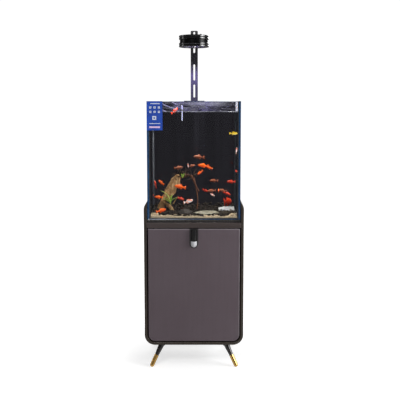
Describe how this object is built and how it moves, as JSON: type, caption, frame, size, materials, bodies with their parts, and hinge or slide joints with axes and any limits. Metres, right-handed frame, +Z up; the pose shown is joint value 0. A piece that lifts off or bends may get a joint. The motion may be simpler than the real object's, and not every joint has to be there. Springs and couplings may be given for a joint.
{
  "type": "aquarium on stand",
  "caption": "Tall glass tank in a rounded hoop cabinet with a side-hinged door on splayed legs, lit by a drum lamp that slides on a slotted mast clamped to the rim.",
  "frame": {"origin": "on the floor, under the middle of the whole object's box", "axes": "+Z up, the door and the front glass face -Y, +X to the right as seen from the front"},
  "size_m": [0.43, 0.352, 1.482],
  "materials": {
    "hoop_finish": "satin dark brown lacquer",
    "rail_finish": "satin dark lacquer",
    "inner_board": "matt laminate",
    "steel": "zinc plated",
    "brass": "polished",
    "leg_finish": "gloss",
    "door_finish": "smooth matt lacquer",
    "pull_black": "gloss",
    "pull_metal": "satin",
    "black_plastic": "matt",
    "mat_foam": "foam",
    "tank_glass": "clear",
    "silicone": "satin",
    "film": "gloss film",
    "card": "printed card",
    "sand": "grainy",
    "bogwood": "weathered",
    "stone": "rough",
    "leaf": "waxy leaf",
    "clamp_metal": "satin black",
    "lamp_black": "gloss black",
    "lamp_dark": "satin black",
    "lens": "smoked",
    "bright_metal": "bright",
    "circuit": "solder mask",
    "aluminium": "anodised"
  },
  "bodies": {
    "stand": {"cabinet_hoop": "hoop_finish", "top_board": "rail_finish", "back_panel": "inner_board", "side_battens": "inner_board", "shelf": "inner_board", "shelf_pins": "steel", "door_pivot_pins": "steel", "catch_body": "black_plastic", "leg_plates": "leg_finish", "leg_plate_screws": "steel", "leg_front_left": "leg_finish", "leg_front_right": "leg_finish", "leg_back_left": "leg_finish", "leg_back_right": "leg_finish", "foot_cap_front_left": "brass", "foot_cap_front_right": "brass", "foot_cap_back_left": "brass", "foot_cap_back_right": "brass", "tank_mat": "mat_foam", "tank_base_glass": "tank_glass", "tank_front_glass": "tank_glass", "tank_back_glass": "tank_glass", "tank_left_glass": "tank_glass", "tank_right_glass": "tank_glass", "silicone_seams": "silicone", "background_film": "film", "label_card": "card", "sand_bed": "sand", "driftwood": "bogwood", "flat_stone": "stone", "dark_stone": "stone", "capped_stone": "stone", "leaf_tufts": "leaf", "thermometer": "tank_glass", "thermometer_sucker": "silicone", "clamp_saddle": "clamp_metal", "clamp_pad": "silicone", "mast": "clamp_metal", "mast_screws": "steel"},
    "door_leaf": {"door": "door_finish", "door_bushes": "brass", "pull_plate": "pull_black", "pull_bar": "pull_black", "pull_cap": "pull_metal", "pull_screws": "steel", "catch_strike": "steel"},
    "lamp_head": {"lamp_upper_shell": "lamp_black", "lamp_band": "lamp_dark", "lamp_lower_shell": "lamp_black", "lamp_lens": "lens", "lens_collar": "bright_metal", "led_board": "circuit", "heat_sink": "aluminium", "lamp_inlet": "black_plastic", "lamp_arm": "clamp_metal"},
    "height_knob": {"carriage_knob": "black_plastic"},
    "left_cup": {"pressure_cup_left": "black_plastic"},
    "left_screw": {"clamp_screw_left": "clamp_metal"},
    "right_cup": {"pressure_cup_right": "black_plastic"},
    "right_screw": {"clamp_screw_right": "clamp_metal"}
  },
  "joints": [
    {"name": "door_hinge", "type": "hinge", "parent": "stand", "child": "door_leaf", "pos_m": [-0.173, -0.15, 0.366], "axis": [0, 0, -1], "range_deg": [0, 105]},
    {"name": "lamp_height", "type": "slide", "parent": "stand", "child": "lamp_head", "axis": [0, 0, 1], "range_m": [-0.026, 0.036]},
    {"name": "height_knob_turn", "type": "hinge", "parent": "lamp_head", "child": "height_knob", "pos_m": [0, 0.148, 1.424], "axis": [0, 1, 0], "range_deg": [0, 360]},
    {"name": "left_cup_travel", "type": "slide", "parent": "stand", "child": "left_cup", "axis": [0, 1, 0], "range_m": [0, 0.003]},
    {"name": "left_screw_turn", "type": "hinge", "parent": "left_cup", "child": "left_screw", "pos_m": [-0.032, 0.165, 1.14], "axis": [0, 1, 0], "range_deg": [0, 1080]},
    {"name": "right_cup_travel", "type": "slide", "parent": "stand", "child": "right_cup", "axis": [0, 1, 0], "range_m": [0, 0.003]},
    {"name": "right_screw_turn", "type": "hinge", "parent": "right_cup", "child": "right_screw", "pos_m": [0.032, 0.165, 1.14], "axis": [0, 1, 0], "range_deg": [0, 1080]}
  ],
  "couplings": [
    {"joint": "left_screw_turn", "follows": "left_cup_travel", "rad_per_m": 6283.2},
    {"joint": "right_screw_turn", "follows": "right_cup_travel", "rad_per_m": 6283.2}
  ]
}
